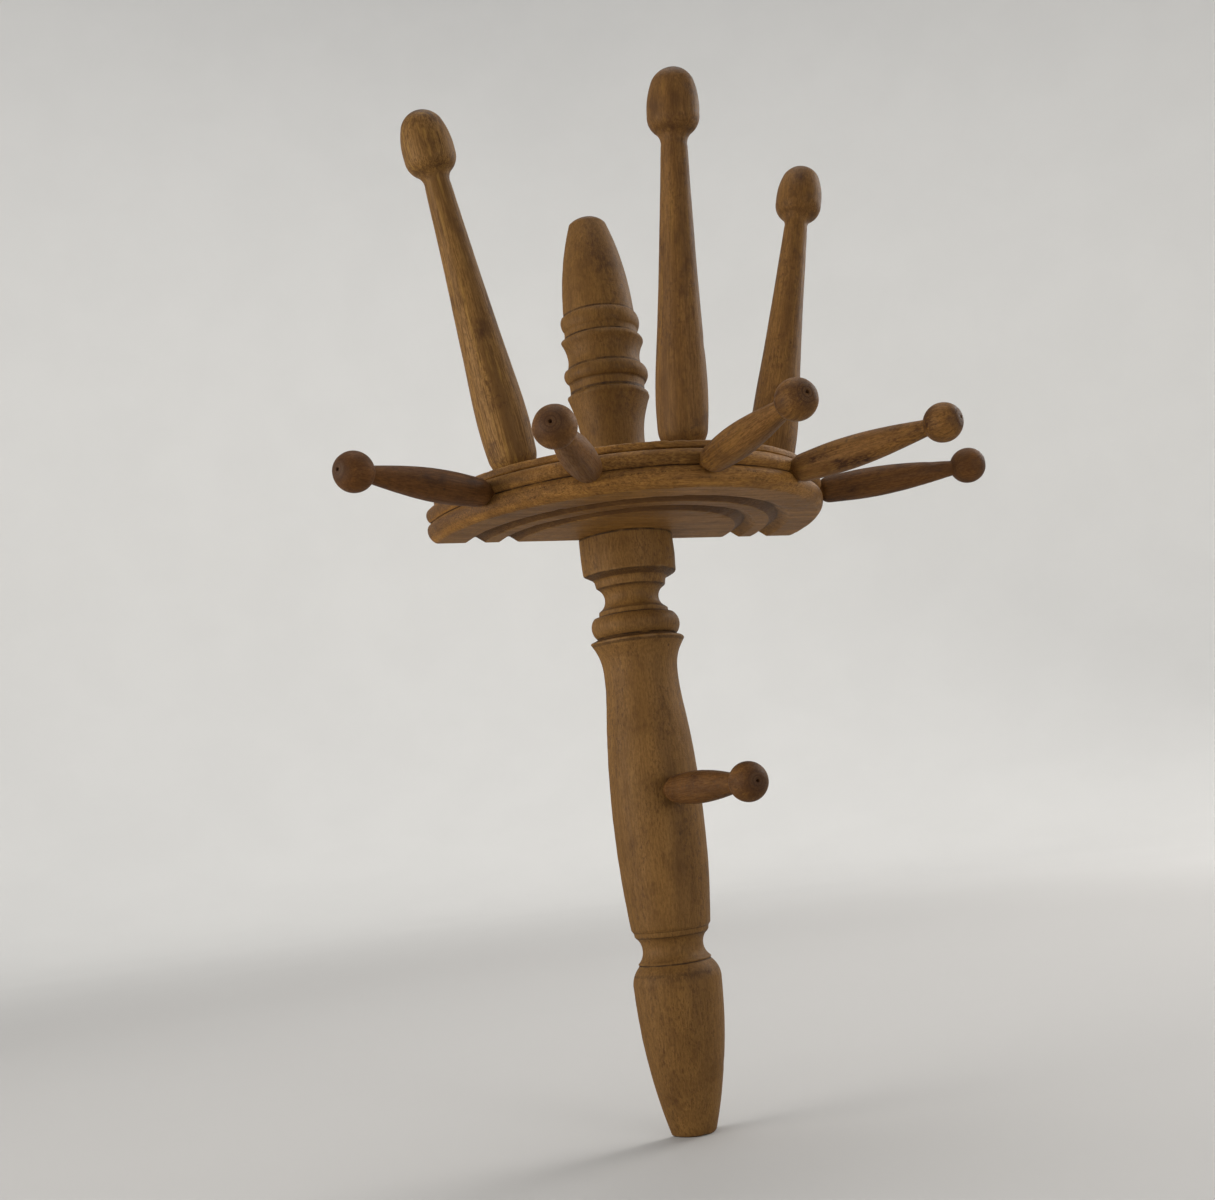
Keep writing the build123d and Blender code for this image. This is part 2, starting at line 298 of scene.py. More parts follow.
def weather(body, profile, seed, out_of_round=0.0, waviness=0.1, dents=6, chip=0.0):
    """Uneven the turned surface, dent and chip it, and record hollows and edges for the material.

    out_of_round, waviness and chip are depths in mm, dents is how many there are.
    """
    rng = random.Random(seed)
    mesh = body.data
    shift = Vector((seed * 1.7, seed * 0.9, seed * 2.3))
    normals = [v.normal.copy() for v in mesh.vertices]
    points = [v.co.copy() for v in mesh.vertices]
    marks = []
    for _ in range(dents):
        at = points[rng.randrange(len(points))]
        marks.append((at, rng.uniform(1.2, 2.8) * MM, rng.uniform(0.12, 0.4) * MM))
    angle0 = rng.uniform(0, math.pi)
    hollow = np.zeros(len(points), np.float32)
    for i, (p, n) in enumerate(zip(points, normals)):
        r = math.hypot(p.x, p.y)
        hollow[i] = profile.hollow_at(r, p.z)
        if body.get("split") and p.y > -SPLIT_FLAT:
            continue
        push = waviness * MM * noise.noise(p / LONG_WAVE + shift)
        push += 0.3 * waviness * MM * noise.noise(p / SHORT_WAVE - shift)
        push += out_of_round * MM * math.cos(2 * (math.atan2(p.y, p.x) - angle0)) * min(1, r / (6 * MM))
        for at, size, depth in marks:
            near = (p - at).length_squared / size**2
            if near < 6:
                push -= depth * math.exp(-near)
        if chip and hollow[i] < CHIP_EDGE:
            bite = noise.noise(p / CHIP_SIZE + shift * 3) - 0.22
            if bite > 0:
                push -= min(chip, 1.6 * chip * bite * min(1, -hollow[i] / 0.4)) * MM * 2
        fade = min(1, -p.y / (3 * MM)) if body.get("split") else 1
        mesh.vertices[i].co = p + n * push * fade
    for name, values in (("hollow", np.clip(hollow, 0, 1)), ("edge", np.clip(-hollow, 0, 1))):
        attribute = mesh.attributes.new(name, "FLOAT", "POINT")
        attribute.data.foreach_set("value", values.astype(np.float32))


def stain(body, spots):
    """Dark patches at given places: (x, y, z) in mm in the piece's own frame, size across and along in mm, strength.
    """
    mesh = body.data
    values = np.zeros(len(mesh.vertices), np.float32)
    for i, v in enumerate(mesh.vertices):
        total = 0.0
        for (x, y, z), across, along, strength in spots:
            d = v.co / MM - Vector((x, y, z))
            far = (d.x**2 + d.y**2) / across**2 + d.z**2 / along**2
            if far < 4:
                ragged = 0.6 + 0.8 * noise.noise(v.co / STAIN_RAGGED + Vector((x, y, z)))
                total += strength * math.exp(-far * 1.5) * ragged
        values[i] = min(1.0, total)
    attribute = mesh.attributes.new("stain", "FLOAT", "POINT")
    attribute.data.foreach_set("value", values)


def finish_mesh(body):
    """Smooth shading, with sharp edges where two faces meet at more than CREASE degrees."""
    mesh = body.data
    mesh.polygons.foreach_set("use_smooth", [True] * len(mesh.polygons))
    mesh.set_sharp_from_angle(angle=math.radians(CREASE))


# ---------------------------------------------------------------- materials
class Graph:
    """Short names for building one material's node tree."""

    def __init__(self, name):
        self.material = bpy.data.materials.new(name)
        self.material.use_nodes = True
        self.tree = self.material.node_tree
        self.tree.nodes.clear()

    def node(self, kind, inputs=None, **settings):
        made = self.tree.nodes.new("ShaderNode" + kind)
        for key, value in settings.items():
            setattr(made, key, value)
        for key, value in (inputs or {}).items():
            if isinstance(value, bpy.types.NodeSocket):
                self.tree.links.new(value, made.inputs[key])
            else:
                made.inputs[key].default_value = value
        return made

    def maths(self, operation, a, b=0.0):
        return self.node("Math", {0: a, 1: b}, operation=operation).outputs[0]

    def fade(self, value, start, end, low=0.0, high=1.0):
        """low before start, high after end, and smooth between them."""
        inputs = {"Value": value, "From Min": start, "From Max": end, "To Min": low, "To Max": high}
        return self.node("MapRange", inputs, interpolation_type="SMOOTHSTEP").outputs[0]

    def stretch(self, vector, scale):
        return self.node("VectorMath", {0: vector, 1: scale}, operation="MULTIPLY").outputs[0]

    def noise(self, vector, scale, detail=2.0, roughness=0.5):
        inputs = {"Vector": self.stretch(vector, scale), "Scale": 1.0, "Detail": detail, "Roughness": roughness}
        return self.node("TexNoise", inputs).outputs["Fac"]

    def blend(self, factor, under, over, mode="MIX"):
        made = self.node("Mix", {0: factor, 6: under, 7: over}, data_type="RGBA", blend_type=mode)
        return made.outputs[2]

    def attribute(self, name):
        return self.node("Attribute", attribute_name=name).outputs["Fac"]

    def surface(self, colour, roughness, height, bump, **fixed):
        """Principled surface and output; the fixed values go on the shader's own sockets."""
        normal = self.node("Bump", {"Height": height, "Strength": bump[0], "Distance": bump[1]})
        inputs = {"Base Color": colour, "Roughness": roughness, "Normal": normal.outputs[0]}
        shader = self.node("BsdfPrincipled", inputs)
        for key, value in fixed.items():
            shader.inputs[key.replace("_", " ")].default_value = value
        self.node("OutputMaterial", {"Surface": shader.outputs[0]})
        return self.material


RING_GAP = 3.3  # mm between growth rings
RING_SHADE = 0.2  # how much darker the late wood of a ring is
PITH_AWAY = 70.0  # mm from the piece to the middle of the tree
# dark colour for specks, hollows and lines; in the hollows and creases it is partly painted shade
GRIME_AND_SHADE = (0.016, 0.008, 0.004, 1)
FLECK = (0.058, 0.025, 0.007, 1)
# dark colour for stains and rings; on the shelf's groove walls it is painted shade
STAIN_AND_SHADE = (0.038, 0.015, 0.005, 1)
END_GRAIN = (0.040, 0.018, 0.008, 1)
WORN_EDGE = (0.250, 0.155, 0.080, 1)


def beech(
    name, light, dark, seed, along="Z", streak=0.5, fleck=0.5, blotch=0.3, gilt=0.2, lines=(), rings=()
):
    """Old turned beech: growth rings, fibre streaks, ray flecks, grime and painted shade in the hollows and pale worn
    edges.

    light and dark are the two wood colours, along is the object axis that the fibres follow.
    streak, fleck, blotch and gilt are how strong the dark fibres, ray flecks, dirty patches and golden bands are.
    lines are dark lines round the turning, part dirt, joints and tear-out, part painted shade in creases: (height,
    half width, strength, how dotted), in mm.
    rings are darker bands round a face, lathe rings on a peg's end and painted shade on the walls of the shelf's
    grooves: (inner radius, outer radius, low, high, strength), in mm.
    """
    g = Graph(name)
    coordinates = g.node("TexCoord")
    piece = g.stretch(coordinates.outputs["Object"], (1 / MM,) * 3)
    fibre_up = {"Z": (0, 0, 0), "X": (0, -HALF_PI, 0)}[along]
    place = g.node("Mapping", {"Vector": piece, "Rotation": fibre_up}).outputs[0]
    moved = {"Vector": place, "Rotation": (0, 0, 0.9 + 1.3 * seed), "Location": (31 * seed, 17 * seed, 53 * seed)}
    grain = g.node("Mapping", moved).outputs[0]
    drift = g.node("TexNoise", {"Vector": g.stretch(grain, (0.03, 0.03, 0.005)), "Scale": 1.0, "Detail": 2.0})
    bent = {0: drift.outputs["Color"], 1: (4.0, 4.0, 0.0), 2: grain}
    grain = g.node("VectorMath", bent, operation="MULTIPLY_ADD").outputs[0]

    from_pith = g.node("VectorMath", {0: g.stretch(grain, (1, 1, 0)), 1: (PITH_AWAY, 0, 0)}, operation="ADD")
    pith_distance = g.node("VectorMath", {0: from_pith.outputs[0]}, operation="LENGTH").outputs["Value"]
    phase = g.maths("FRACT", g.maths("DIVIDE", pith_distance, RING_GAP))
    late = g.maths("MULTIPLY", g.fade(phase, 0.10, 0.90), g.fade(phase, 0.92, 1.0, 1.0, 0.0))

    bands = g.noise(grain, (0.16, 0.16, 0.004), 2.0)
    fibres = g.noise(grain, (2.0, 2.0, 0.05), 4.0, 0.65)
    mottle = g.noise(grain, (1.05, 1.05, 0.42), 3.0, 0.65)
    pores = g.noise(grain, (6.0, 6.0, 0.6), 3.0, 0.6)
    golden = g.noise(grain, (0.55, 0.55, 0.012), 3.0, 0.55)
    rays = g.noise(grain, (0.30, 0.95, 0.40), 3.0, 0.65)
    cluster = g.noise(grain, (0.045, 0.09, 0.022), 2.0)
    patina = g.noise(piece, (0.05, 0.05, 0.035), 4.0, 0.6)
    specks = g.node("TexVoronoi", {"Vector": g.stretch(piece, (0.08, 0.08, 0.05)), "Scale": 1.0, "Randomness": 1.0})
    speck = g.fade(specks.outputs["Distance"], 0.02, 0.06, 1.0, 0.0)

    colour = g.blend(g.maths("MULTIPLY", late, RING_SHADE), light, dark)
    colour = g.blend(g.fade(bands, 0.40, 0.68, 0.0, streak), colour, dark)
    colour = g.blend(g.fade(fibres, 0.45, 0.62, 0.0, 1.3 * streak), colour, dark)
    colour = g.blend(g.fade(mottle, 0.44, 0.64, 0.0, 0.45), colour, dark)
    gold = tuple(c * f for c, f in zip(light[:3], (1.25, 1.34, 1.10))) + (1,)
    colour = g.blend(g.fade(golden, 0.54, 0.70, 0.0, gilt), colour, gold)
    colour = g.blend(g.fade(pores, 0.48, 0.72, 0.0, 0.40), colour, dark)
    flecks = g.maths("MULTIPLY", g.fade(rays, 0.54, 0.62), g.fade(cluster, 0.46, 0.58, 0.12, 1.0))
    colour = g.blend(g.maths("MULTIPLY", flecks, fleck), colour, FLECK)
    colour = g.blend(g.fade(patina, 0.35, 0.70, 0.0, 0.50), colour, (0.70, 0.66, 0.55, 1), "MULTIPLY")
    blotches = g.fade(g.noise(piece, (0.11, 0.11, 0.07), 5.0, 0.65), 0.55, 0.68)
    colour = g.blend(g.maths("MULTIPLY", blotches, blotch), colour, FLECK)
    colour = g.blend(g.maths("MULTIPLY", speck, 0.6), colour, GRIME_AND_SHADE)

    fibre_axis = {"Z": (0, 0, 1), "X": (1, 0, 0)}[along]
    facing = g.node("VectorMath", {0: coordinates.outputs["Normal"], 1: fibre_axis}, operation="DOT_PRODUCT")
    end_on = g.fade(g.maths("ABSOLUTE", facing.outputs["Value"]), 0.62, 0.97)
    end_pores = g.noise(piece, (2.2, 2.2, 2.2), 3.0, 0.75)
    end_tone = g.fade(end_pores, 0.38, 0.62, 0.35, 0.90)
    colour = g.blend(g.maths("MULTIPLY", end_on, end_tone), colour, END_GRAIN)

    uneven = g.fade(g.noise(piece, (0.16, 0.16, 0.16), 4.0, 0.6), 0.32, 0.60, 0.35, 1.0)
    edge = g.fade(g.attribute("edge"), 0.12, 0.60)
    rubbed = g.maths("MULTIPLY", edge, g.fade(g.noise(piece, (0.12, 0.12, 0.12), 3.0), 0.40, 0.65))
    colour = g.blend(g.maths("MULTIPLY", rubbed, 0.30), colour, WORN_EDGE)
    # darker in the hollows: part grime, part painted shade where the hollows fall into shadow
    hollow = g.fade(g.attribute("hollow"), 0.10, 0.70)
    dirt_and_shade = g.maths("MULTIPLY", g.maths("MULTIPLY", hollow, uneven), 0.45)
    colour = g.blend(dirt_and_shade, colour, GRIME_AND_SHADE)

    height_up = g.node("SeparateXYZ", {0: piece}).outputs[2]
    radius = g.node("VectorMath", {0: g.stretch(piece, (1, 1, 0))}, operation="LENGTH").outputs["Value"]
    dots = g.fade(g.noise(piece, (1.1, 1.1, 1.1), 2.0, 0.6), 0.46, 0.60)
    # dark lines at the given heights: part dirt, joints and tear-out, part painted shade in the creases and quirks
    scored_and_shaded = 0.0
    for at, half_width, strength, dotted in lines:
        off = g.maths("ABSOLUTE", g.maths("SUBTRACT", height_up, at))
        line = g.fade(off, 0.35 * half_width, half_width, strength, 0.0)
        broken = g.maths("ADD", g.maths("MULTIPLY", dots, dotted), 1 - dotted)
        scored_and_shaded = g.maths("MAXIMUM", scored_and_shaded, g.maths("MULTIPLY", line, broken))
    if lines:
        scored_and_shaded = g.maths("MULTIPLY", scored_and_shaded, uneven)
        colour = g.blend(scored_and_shaded, colour, GRIME_AND_SHADE)
    # darker bands round a face: lathe rings on the pegs' ends, painted shade on the shelf's groove walls
    for inner, outer, low, high, strength in rings:
        soft = min(0.3, 0.4 * (outer - inner))
        band = g.maths("MULTIPLY", g.fade(radius, inner, inner + soft), g.fade(radius, outer - soft, outer, 1.0, 0.0))
        band = g.maths("MULTIPLY", band, g.fade(height_up, low, low + 0.3))
        band = g.maths("MULTIPLY", band, g.fade(height_up, high - 0.2, high, strength, 0.0))
        colour = g.blend(band, colour, STAIN_AND_SHADE)
    spotted = g.maths("MULTIPLY", g.attribute("stain"), g.fade(mottle, 0.38, 0.58, 0.45, 1.0))
    colour = g.blend(spotted, colour, STAIN_AND_SHADE)

    turned = radius if along == "X" else height_up
    tool = g.node("TexNoise", {"W": turned, "Scale": 1.3, "Detail": 2.0}, noise_dimensions="1D").outputs["Fac"]
    height = g.maths("ADD", g.maths("MULTIPLY", fibres, 0.8), g.maths("MULTIPLY", tool, 0.5))
    height = g.maths("ADD", height, g.maths("MULTIPLY", pores, -0.5))
    height = g.maths("SUBTRACT", height, g.maths("MULTIPLY", speck, 1.2))
    height = g.maths("SUBTRACT", height, g.maths("MULTIPLY", flecks, 0.25))
    height = g.maths("SUBTRACT", height, g.maths("MULTIPLY", end_pores, g.maths("MULTIPLY", end_on, 0.9)))
    roughness = g.fade(fibres, 0.30, 0.75, 0.52, 0.70)
    roughness = g.maths("SUBTRACT", roughness, g.maths("MULTIPLY", flecks, 0.08))
    roughness = g.maths("ADD", roughness, g.maths("MULTIPLY", dirt_and_shade, 0.15))
    return g.surface(colour, roughness, height, (0.6, 0.00018), Specular_IOR_Level=0.12)


def zinc_steel(name):
    """Dull zinc-plated sheet: rolling scratches, cloudy plating and a little rust."""
    g = Graph(name)
    place = g.stretch(g.node("TexCoord").outputs["Object"], (1 / MM,) * 3)
    scratches = g.noise(place, (3.5, 3.5, 0.12), 4.0, 0.65)
    cloud = g.noise(place, (0.25, 0.25, 0.25), 4.0, 0.6)
    rust = g.fade(g.noise(place, (0.6, 0.6, 0.6), 5.0, 0.7), 0.60, 0.70)
    colour = g.blend(g.fade(cloud, 0.3, 0.7), (0.46, 0.45, 0.41, 1), (0.60, 0.59, 0.56, 1))
    colour = g.blend(g.fade(scratches, 0.5, 0.7, 0.0, 0.4), colour, (0.30, 0.29, 0.27, 1))
    colour = g.blend(g.maths("MULTIPLY", rust, 0.8), colour, (0.16, 0.07, 0.03, 1))
    roughness = g.maths("ADD", g.fade(cloud, 0.3, 0.7, 0.34, 0.50), g.maths("MULTIPLY", rust, 0.3))
    height = g.maths("ADD", scratches, g.maths("MULTIPLY", rust, 0.8))
    return g.surface(colour, roughness, height, (0.3, 0.00006), Metallic=0.9)


# ---------------------------------------------------------------- outlines of the four turnings, in mm
SPINDLE = outline(
    straight((0, -281), (10.2, -281), (11.0, -280.2)),
    arc((11.0, -280.2), (18.8, -247.0), (21.7, -214.0)),
    arc((21.7, -214.0), (20.9, -208.5), (18.8, -205.3)),
    straight((18.8, -205.3), (17.6, -204.0), (18.1, -203.2), (17.3, -202.5)),
    arc((17.3, -202.5), (15.1, -197.6), (16.8, -192.4)),
    straight((16.8, -192.4), (17.8, -191.6), (18.4, -190.8), (18.6, -189.2), (19.7, -187.8)),
    arc((19.7, -187.8), (22.7, -136.0), (19.5, -83.2)),
    curve((19.5, -83.2), (18.75, -69.5), (20.3, -58.8), (23.9, -52.2)),
    straight((23.9, -52.2), (23.6, -51.5), (19.9, -50.0)),
    arc((19.9, -50.0), (22.6, -44.6), (20.2, -39.3)),
    straight((20.2, -39.3), (17.9, -38.7), (17.7, -36.6), (17.0, -36.0)),
    arc((17.0, -36.0), (13.9, -30.6), (16.9, -25.4)),
    straight((16.9, -25.4), (17.8, -24.8), (18.4, -21.8), (19.2, -20.9), (23.0, -19.2)),
    arc((23.0, -19.2), (23.7, -18.6), (23.9, -17.6)),
    straight((23.9, -17.6), (24.3, -10.0), (24.1, 0), (12.0, 0), (12.0, 39.5), (0, 39.5)),
)
FINIAL = outline(
    straight((0, 39.6), (12.1, 39.6), (12.1, 21.5), (18.6, 21.5), (18.6, 23.0)),
    curve((18.6, 23.0), (16.7, 40.0), (17.8, 60.0), (21.1, 70.6)),
    arc((21.1, 70.6), (21.55, 72.0), (21.0, 73.3)),
    straight((21.0, 73.3), (19.8, 73.9)),
    arc((19.8, 73.9), (19.6, 76.6), (19.9, 79.4)),
    straight((19.9, 79.4), (20.5, 79.7)),
    arc((20.5, 79.7), (22.1, 84.0), (20.9, 86.9)),
    straight((20.9, 86.9), (19.8, 87.2)),
    curve((19.8, 87.2), (18.9, 91.3), (19.4, 95.4), (20.9, 99.2), (21.75, 101.5), (21.0, 102.9)),
    straight((21.0, 102.9), (19.9, 103.2)),
    arc((19.9, 103.2), (19.4, 105.2), (19.6, 107.3)),
    straight((19.6, 107.3), (19.9, 107.5)),
    arc((19.9, 107.5), (20.8, 112.6), (19.8, 115.1)),
    straight((19.8, 115.1), (19.1, 115.3), (18.9, 115.8)),
    arc((18.9, 115.8), (15.9, 144.0), (10.0, 166.2)),
    arc((10.0, 166.2), (5.9, 169.3), (0, 170.0)),
)
SHELF = outline(
    straight((12.1, 0), (55.4, 0), (59.2, 2.4)),
    arc((59.2, 2.4), (60.4, 2.8), (61.6, 2.4)),
    straight((61.6, 2.4), (65.4, 0), (72.0, 0), (75.8, 2.4)),
    arc((75.8, 2.4), (77.0, 2.8), (78.2, 2.4)),
    straight((78.2, 2.4), (82.0, 0), (95.6, 0)),
    arc((95.6, 0), (98.9, 3.0), (99.5, 5.6)),
    arc((99.5, 5.6), (99.1, 7.8), (97.5, 9.5)),
    arc((97.5, 9.5), (99.5, 13.8), (96.6, 17.1)),
    straight((96.6, 17.1), (94.6, 17.5), (94.6, 17.9), (95.3, 18.4), (95.3, 20.3)),
    arc((95.3, 20.3), (94.95, 21.15), (94.1, 21.5)),
    straight((94.1, 21.5), (12.1, 21.5), (12.1, 0)),
)
TENON_LENGTH = 14.0  # of every peg
SHORT_HOLE = 5.05  # radius of a short peg's hole
TALL_HOLE = 7.55  # radius of a tall peg's hole
SHORT_PEG = outline(
    straight((0, -TENON_LENGTH), (5.0, -TENON_LENGTH), (5.0, 1.6)),
    arc((5.0, 1.6), (5.8, 2.7), (6.4, 4.6)),
    curve((6.4, 4.6), (7.3, 21.0), (6.5, 41.0), (3.6, 64.8)),
    arc((3.6, 64.8), (8.5, 72.5), (3.2, 80.37)),
    straight((3.2, 80.37), (0.9, 80.67), (0, 78.77)),
)
TALL_PEG = outline(
    straight((0, -TENON_LENGTH), (7.5, -TENON_LENGTH), (7.5, 2.0)),
    arc((7.5, 2.0), (9.8, 5.2), (11.3, 11.0)),
    curve((11.3, 11.0), (11.7, 19.0), (10.5, 50.0), (8.3, 86.0), (5.95, 135.5)),
    arc((5.95, 135.5), (6.4, 139.6), (8.3, 142.0)),
    arc((8.3, 142.0), (10.6, 144.6), (11.65, 149.5)),
    arc((11.65, 149.5), (11.2, 157.5), (9.2, 164.6)),
    arc((9.2, 164.6), (6.5, 167.9), (2.0, 170.1)),
    straight((2.0, 170.1), (0, 170.3)),
)

# ---------------------------------------------------------------- where the pegs lie, holes and recesses
HOLE_COLUMNS = 40
RECESS_CORNER = 3.0 * MM  # of the keyhole plates' outline
RECESS_PROUD = 1.0 * MM  # how far a cutter stands out of the sawn back
POCKET_HALF_WIDTH = 6.0 * MM
POCKET_HALF_HEIGHT = 10.5 * MM
POCKET_UP = 0.5 * MM  # middle of the pocket above the middle of its plate
POCKET_DEPTH = 8.0 * MM
SHORT_PEGS = ("rim_peg_far_left", "rim_peg_left", "rim_peg_middle", "rim_peg_right", "rim_peg_far_right", "low_peg")
TALL_PEGS = ("tall_peg_left", "tall_peg_middle", "tall_peg_right")


class Axis:
    """Where a turned CAD node lies: the middle line of its surface, from its tenon end outward."""

    def __init__(self, node):
        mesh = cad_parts[node].data
        centres = np.array([f.center for f in mesh.polygons])
        areas = np.array([f.area for f in mesh.polygons])
        self.middle = (centres * areas[:, None]).sum(0) / areas.sum()
        spread = (centres - self.middle) * np.sqrt(areas)[:, None]
        direction = np.linalg.eigh(spread.T @ spread)[1][:, -1]
        if direction @ (self.middle * (1, 1, 0)) < 0:  # a peg points away from the spindle's axis
            direction = -direction
        self.direction = direction
        points = np.array([v.co for v in mesh.vertices])
        s = (points - self.middle) @ direction
        self.low, self.high = s.min(), s.max()
        across = (points - self.middle) - np.outer(s, direction)
        self.radius = np.linalg.norm(across, axis=1).max()

    def matrix(self, roll):
        """Frame with its origin at the tenon end, Z out along the peg, rolled about that axis."""
        start = Vector(self.middle + self.direction * self.low)
        turn = Vector(self.direction).to_track_quat("Z", "Y").to_matrix().to_4x4()
        return Matrix.Translation(start) @ turn @ Matrix.Rotation(roll, 4, "Z")


peg_axes = {name: Axis(name) for name in (*SHORT_PEGS, *TALL_PEGS)}


def hole_cutter(node, radius):
    """A rod in a peg's tenon hole that reaches out past the surface."""
    rod = outline(straight((0, 0), (radius, 0), (radius, 2 * TENON_LENGTH), (0, 2 * TENON_LENGTH)))
    made = full_turning("hole_" + node, Profile(rod), HOLE_COLUMNS)
    made.matrix_world = peg_axes[node].matrix(0)
    return made


def plate_cutters(node):
    """The recess of a keyhole plate and the pocket behind its keyhole, as cutting shapes."""
    low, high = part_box(node)
    middle = (low + high) / 2
    half = (high - low) / 2
    pocket = (POCKET_HALF_WIDTH, POCKET_HALF_HEIGHT, POCKET_HALF_WIDTH, middle.z + POCKET_UP, high.y - POCKET_DEPTH)
    shapes = ((half.x, half.z, RECESS_CORNER, middle.z, low.y), pocket)
    made = []
    for half_width, half_height, round_off, height, depth in shapes:
        ring = []
        for quarter, (sx, sz) in enumerate(((1, 1), (-1, 1), (-1, -1), (1, -1))):
            for step in range(7):
                a = (quarter + step / 6) * HALF_PI
                x = sx * (half_width - round_off) + round_off * math.cos(a)
                z = height + sz * (half_height - round_off) + round_off * math.sin(a)
                ring.append((middle.x + x, z))
        verts = [(x, y, z) for y in (depth, RECESS_PROUD) for x, z in ring]
        n = len(ring)
        faces = [(k, (k + 1) % n, n + (k + 1) % n, n + k) for k in range(n)]
        faces += [tuple(range(n)), tuple(range(2 * n - 1, n - 1, -1))]
        made.append(new_object("recess", verts, faces))
    return made


# ---------------------------------------------------------------- the three split turnings
SPINDLE_COLUMNS, FINIAL_COLUMNS, SHELF_COLUMNS = 84, 80, 230  # faces round the front of each


def box_profile(points, node, closed=False):
    """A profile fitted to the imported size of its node."""
    low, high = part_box(node)
    return Profile(points, closed).fit(high.x, low.z, high.z)


def settle(piece, node, material):
    """Give a finished piece its material, attach it to the rack's body and hide the CAD node that it stands for."""
    piece.data.materials.clear()
    piece.data.materials.append(material)
    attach(piece, BODY)
    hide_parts(node)


# the wood's two colours; stains, dark lines and rings in the makers below lie where the photo has them
LIGHT = (0.186, 0.094, 0.026, 1)
DARK = (0.080, 0.037, 0.010, 1)


def shade(colour, red, green, blue):
    """A colour with each channel scaled."""
    return (colour[0] * red, colour[1] * green, colour[2] * blue, 1)


def make_spindle():
    profile = box_profile(SPINDLE, "lower_spindle")
    piece = half_turning("lower_spindle_turned", profile, SPINDLE_COLUMNS)
    piece["split"] = True
    cut(piece, [*plate_cutters("lower_hanger_plate"), hole_cutter("low_peg", SHORT_HOLE)])
    weather(piece, profile, 3, out_of_round=0.10, waviness=0.16, dents=14, chip=0.18)
    stain(
        piece,
        (
            ((2, -18, -209), 14, 3, 0.9),
            ((-10, -16, -210), 8, 2, 0.5),
            ((3, -23, -76), 3, 1.2, 0.7),
            ((9, -20, -88), 2.5, 1.2, 0.7),
            ((-12, -20, -16), 3.5, 1.4, 0.8),
            ((6, -22, -170), 4, 9, 0.35),
            ((1, -21, -90), 5, 18, 0.40),
            ((-4, -21, -44), 12, 4, 0.45),
            ((8, -20, -46), 7, 4, 0.40),
            ((-16, -18, -8), 9, 5, 0.30),
            ((2, -22, -140), 5, 26, 0.45),
            ((4, -22, -40), 14, 2, 0.5),
            ((0, -22.8, -131), 8, 2.5, 0.7),
        ),
    )
    finish_mesh(piece)
    # dark lines at the joint, the steps and the quirks: part dirt, part painted shade in the creases
    lines = (
        (-0.5, 0.7, 0.8, 0.0),
        (-18.9, 0.45, 0.7, 0.2),
        (-25.2, 0.5, 0.6, 0.3),
        (-36.2, 0.4, 0.5, 0.3),
        (-39.1, 0.45, 0.6, 0.0),
        (-49.7, 0.5, 0.85, 0.0),
        (-53.1, 0.9, 0.65, 0.3),
        (-189.0, 0.3, 0.5, 0.0),
        (-191.6, 0.4, 0.6, 0.0),
        (-204.0, 0.4, 0.85, 0.0),
        (-208.4, 0.8, 0.5, 0.7),
    )
    material = beech("spindle_beech", LIGHT, DARK, 1.0, fleck=0.55, streak=0.26, gilt=0.1, lines=lines)
    settle(piece, "lower_spindle", material)


def make_finial():
    profile = box_profile(FINIAL, "finial")
    piece = half_turning("finial_turned", profile, FINIAL_COLUMNS)
    piece["split"] = True
    cut(piece, plate_cutters("upper_hanger_plate"))
    weather(piece, profile, 5, out_of_round=0.08, waviness=0.14, dents=8, chip=0.16)
    stain(
        piece,
        (
            ((-2, -16, 140), 8, 9, 1.2),
            ((-3, -14, 152), 5, 8, 0.9),
            ((-4, -10, 162), 3, 5, 0.7),
            ((-6, -17, 62), 3, 1.5, 0.6),
            ((3, -20, 84), 7, 3, 0.5),
            ((9, -19, 72), 6, 3, 0.7),
        ),
    )
    finish_mesh(piece)
    # dark lines at the tops of the beads and at the joint: part dirt, part painted shade in the concave corners
    lines = (
        (116.1, 0.7, 0.85, 0.2),
        (103.7, 0.8, 0.90, 0.1),
        (87.9, 0.9, 0.80, 0.3),
        (79.1, 0.4, 0.30, 0.0),
        (74.9, 1.0, 0.95, 0.3),
        (21.9, 0.7, 0.80, 0.0),
    )
    light, dark = shade(LIGHT, 0.90, 0.88, 0.80), shade(DARK, 0.92, 0.90, 0.82)
    material = beech("finial_beech", light, dark, 1.35, fleck=0.5, streak=0.24, gilt=0.1, lines=lines)
    settle(piece, "finial", material)


